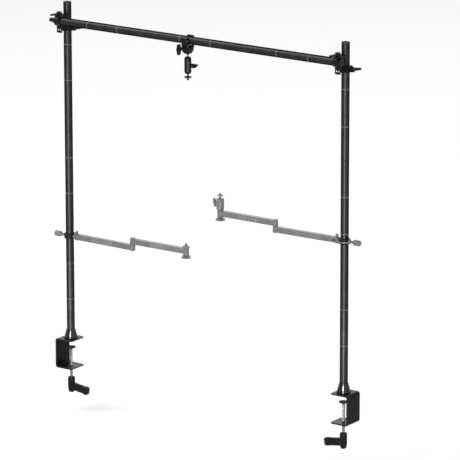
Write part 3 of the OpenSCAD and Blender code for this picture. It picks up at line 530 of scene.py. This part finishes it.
def tube_clamp():
    dress("crab_body", "tube_clamp_casting", "cast_black", 0.8, 3)
    dress("crab_jaw", "tube_clamp_front_jaw", "cast_black", 0.8, 3)
    dress("crab_rear_pad", "tube_clamp_rear_rubber", "rubber_black", 0.15, 1)
    dress("crab_front_pad", "tube_clamp_front_rubber", "rubber_black", 0.15, 1)
    dress("crab_knob", "tube_clamp_bar_knob", "plastic_black", 1.0, 3, trim=("bright_steel", on_shank))
    dress("upper_ball_stud", "ball_stud_top", "bright_steel", 0.2, look="bolt_grey")
    dress("arm_sleeve", "ball_arm_sleeve", "cast_black", 0.3)
    dress("arm_lock_lever", "ball_arm_lever", "plastic_black", 0.9, 3)
    dress("lower_ball_stud", "ball_stud_bottom", "bright_steel", 0.2, look="stud_black")
    dress("lock_disc", "light_stud_disc", "plastic_black", 0.3)
    stud_thread("light_stud_thread", (CLAMP_X, BAR_Y, BAR_Z - LIGHT_STUD_DROP), 5.6, "lower_ball")


# ---------------------------------------------------------------- side arms
RING_BODY = 14.6  # half the width of a ring clamp's body, beyond which its lugs are grey
BARREL_X = -40.0  # middle of a barrel knob, outwards from the post axis


def link_marks(side, link, place):
    """Ticks on both faces of a link, and marks along its upper edges."""
    body = f"{side}_{link}_link"
    faces = [(FIRST_TICK[side, link], y, 0) for y in (-LINK_W / 2, LINK_W / 2)]
    grow(f"{side}_{link}_ticks", ROW, faces, place, body, "arm_grey", "tick_grey", count=TICK_COUNT[link],
         step=(TICK_STEP, 0, 0), block_size=(2.4, 0.14, 11.6))
    edges = [(32, y, LINK_W / 2 - 0.3) for y in (-4.6, 4.6)]
    grow(f"{side}_{link}_edge_marks", ROW, edges, place, body, "arm_grey", "tick_grey", count=4, step=(36, 0, 0),
         block_size=(9, 1.6, 0.72))


def side_arms():
    for side, s in SIDES:
        dress(f"{side}_arm_ring", f"{side}_ring_clamp", "cast_black", 0.5, 3,
              trim=("arm_grey", lambda middle, post=s * POST_X: abs(middle.x - post) > RING_BODY))
        dress(f"{side}_arm_liner", f"{side}_ring_liner", "plastic_black", 0.15, 1)
        dress(f"{side}_arm_knob", f"{side}_ring_barrel_knob", "arm_grey", 0.4, 2)
        dress(f"{side}_arm_inner", f"{side}_link_inner", "arm_grey", 0.6, 3)
        dress(f"{side}_arm_bolts", f"{side}_link_bolts", "bright_steel", 0.3, look="bolt_grey")
        dress(f"{side}_arm_outer", f"{side}_link_outer", "arm_grey", 0.6, 3)
        dress(f"{side}_end_knob", f"{side}_star_knob", "arm_grey", 0.6, 2)
        base = at(s * POST_X, 0, ARM_Z[side], MIRRORED if s > 0 else IN_PLACE)
        link_marks(side, "inner", base @ at(ROOT_R, 0, 0, Matrix.Rotation(-SWING, 4, "Z")))
        link_marks(side, "outer", base @ at(ELBOW_X, ELBOW_Y, STACK))
        grow(f"{side}_barrel_ribs", RIBS, [(0, 0, 0)], base @ at(BARREL_X, 0, 0, ALONG_X), f"{side}_ring_knob",
             "arm_grey", "arm_grey", count=24, grip_radius=7.6, rib_size=(0.6, 1.0, 12))
    # A light grey band round the right ring clamp's lower rim: a painted highlight
    grow("right_ring_highlight_band", RING_MARKS, [(0, 0, -1.6)], at(POST_X, 0, ARM_Z["right"]), "right_ring", "cast_black",
         "ring_highlight_grey", tube_radius=15.5, band_width=1.3, paint_height=0.4)
    dress("left_end_disc", "left_stud_disc", "arm_grey", 0.3)
    dress("head_body", "ball_head_body", "arm_grey", 0.5, 2)
    dress("head_stud", "ball_head_stud", "bright_steel", 0.2, look="bolt_grey")
    dress("head_knob", "ball_head_wing", "arm_grey", 0.8, 3)
    end_x = POST_X - ELBOW_X - OUTER_L
    stud_thread("left_arm_thread", (-end_x, ELBOW_Y, ARM_Z["left"] + BOSS_TOP + 4.2), 6.2, "left_end_screw")
    stud_thread("camera_thread", (end_x, ELBOW_Y, ARM_Z["right"] + BOSS_TOP + 38.8), 5.0, "head_ball")


# ---------------------------------------------------------------- camera, lights, floor
def camera():
    """The camera of the photograph. seen_x and seen_y are the pixel at which it shows the target."""
    focal_px, frame_px, sensor = 4227.1, 460, 36
    azimuth, elevation, roll = (math.radians(v) for v in (35.16, 14.75, -0.075))
    distance, target = 11.318, Vector((0, 0, 0.5073))
    seen_x, seen_y, centre = 203.84, 183.79, 230.0
    back = Vector((math.sin(azimuth) * math.cos(elevation), -math.cos(azimuth) * math.cos(elevation),
                   math.sin(elevation)))
    level = Vector((math.cos(azimuth), math.sin(azimuth), 0))
    lift = back.cross(level)
    right = level * math.cos(roll) + lift * math.sin(roll)
    up = lift * math.cos(roll) - level * math.sin(roll)
    spot = target + back * distance - right * (seen_x - centre) * distance / focal_px \
        + up * (seen_y - centre) * distance / focal_px
    data = bpy.data.cameras.new("camera")
    data.sensor_width = sensor
    data.lens = focal_px * sensor / frame_px
    data.clip_end = 100
    cam = collect(bpy.data.objects.new("camera", data))
    cam.matrix_world = Matrix.Translation(spot) @ Matrix((right, up, back)).transposed().to_4x4()
    bpy.context.scene.camera = cam


def lamp(name, spot, aim, size, watts, spread=180, gloss_only=False):
    """A soft lamp at spot that points to aim. One for gloss only draws a highlight and lights nothing else."""
    data = bpy.data.lights.new(name, "AREA")
    data.shape = "RECTANGLE"
    data.size, data.size_y = size
    data.energy = watts
    obj = collect(bpy.data.objects.new(name, data))
    obj.location = spot
    obj.rotation_euler = (Vector(aim) - Vector(spot)).to_track_quat("-Z", "Y").to_euler()
    obj.data.spread = math.radians(spread)
    obj.visible_camera = False
    obj.visible_diffuse = not gloss_only


def world_light():
    """White, at the camera's and the gloss's full strength and a little less for what it lights."""
    world = bpy.data.worlds.new("studio")
    bpy.context.scene.world = world
    world.use_nodes = True
    tree = world.node_tree
    background = tree.nodes["Background"]
    path = put(tree, "ShaderNodeLightPath")
    seen = put(tree, "ShaderNodeMath", {0: path.outputs["Is Camera Ray"], 1: path.outputs["Is Glossy Ray"]},
               operation="MAXIMUM")
    seen = put(tree, "ShaderNodeMath", {0: seen.outputs[0], 1: path.outputs["Is Transmission Ray"]},
               operation="MAXIMUM")
    level = put(tree, "ShaderNodeMapRange", {0: seen.outputs[0], 3: 0.8, 4: 1.0})
    background.inputs["Color"].default_value = (1, 1, 1, 1)
    tree.links.new(level.outputs[0], background.inputs["Strength"])


def lamps():
    for side, s in SIDES:
        post = s * POST_X * MM
        lamp(f"{side}_strip", (post + 0.432, -1.01, 0.24), (post, 0, 0.50), (0.46, 1.05), 1.5, 50, True)
        lamp(f"{side}_collar_strip", (post + 0.236, -0.551, 0.17), (post, 0, 0.02), (0.10, 0.20), 0.7, 40, True)
    lamp("sleeve_strip", (0.551, -0.854, 0.557), (-0.025, -0.0365, 0.82), (0.10, 0.30), 0.35, 30, True)
    lamp("head_strip", (0.63, -0.82, 0.19), (0.0565, -0.004, 0.45), (0.10, 0.34), 0.13, 30, True)
    lamp("low_back", (-2.4, 3.4, 0.95), (0, 0, 0.1), (1.5, 1.0), 9, 180, True)
    lamp("top", (-2.9, -1.2, 4.8), (0, 0, 0.6), (1.6, 1.6), 100)
    lamp("key", (-2.2, -5.5, 4.2), (0, 0, 0.5), (2.2, 2.2), 50)
    lamp("side", (5.5, -1.0, 3.0), (0, 0, 0.4), (1.6, 3.0), 35)
    lamp("back", (-1.5, 5.0, 4.0), (0, 0, 0.5), (3.0, 1.6), 35)


def pale_floor():
    """A dull pale surface that looks a little lighter to the camera than it is lit."""
    mat = bpy.data.materials.new("pale_floor")
    mat.use_nodes = True
    tree = mat.node_tree
    shader = tree.nodes["Principled BSDF"]
    place = put(tree, "ShaderNodeTexCoord").outputs["Object"]
    clouds = put(tree, "ShaderNodeTexNoise", {"Vector": place, "Scale": 3.0, "Detail": 2.0})
    darker, lighter = [0.925] * 3 + [1], [0.945] * 3 + [1]
    tone = put(tree, "ShaderNodeMix", {0: clouds.outputs["Fac"], 6: darker, 7: lighter}, data_type="RGBA")
    tree.links.new(tone.outputs[2], shader.inputs["Base Color"])
    shader.inputs["Roughness"].default_value = 0.9
    shader.inputs["Specular IOR Level"].default_value = 0.1
    glow = put(tree, "ShaderNodeEmission", {"Strength": 1.0})
    part = put(tree, "ShaderNodeMath", {0: put(tree, "ShaderNodeLightPath").outputs["Is Camera Ray"], 1: 0.4},
               operation="MULTIPLY")
    both = put(tree, "ShaderNodeMixShader", {0: part.outputs[0], 1: shader.outputs[0], 2: glow.outputs[0]})
    tree.links.new(both.outputs[0], tree.nodes["Material Output"].inputs["Surface"])
    return mat


SCREW_ROOM = 46  # mm over the floor, because the clamp screws lower their handles by 40 mm


def ground():
    """A wide floor under the stand, outside the part."""
    mesh = bpy.data.meshes.new("floor")
    work = bmesh.new()
    bmesh.ops.create_circle(work, cap_ends=True, segments=96, radius=40)
    work.to_mesh(mesh)
    work.free()
    floor = collect(bpy.data.objects.new("floor", mesh))
    floor.location.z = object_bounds()[0].z - SCREW_ROOM * MM
    mesh.materials.append(pale_floor())


tubes()
studs()
desk_clamps()
corner_clamps()
tube_clamp()
side_arms()
bpy.context.scene.view_settings.view_transform = "Standard"
camera()
world_light()
lamps()
ground()
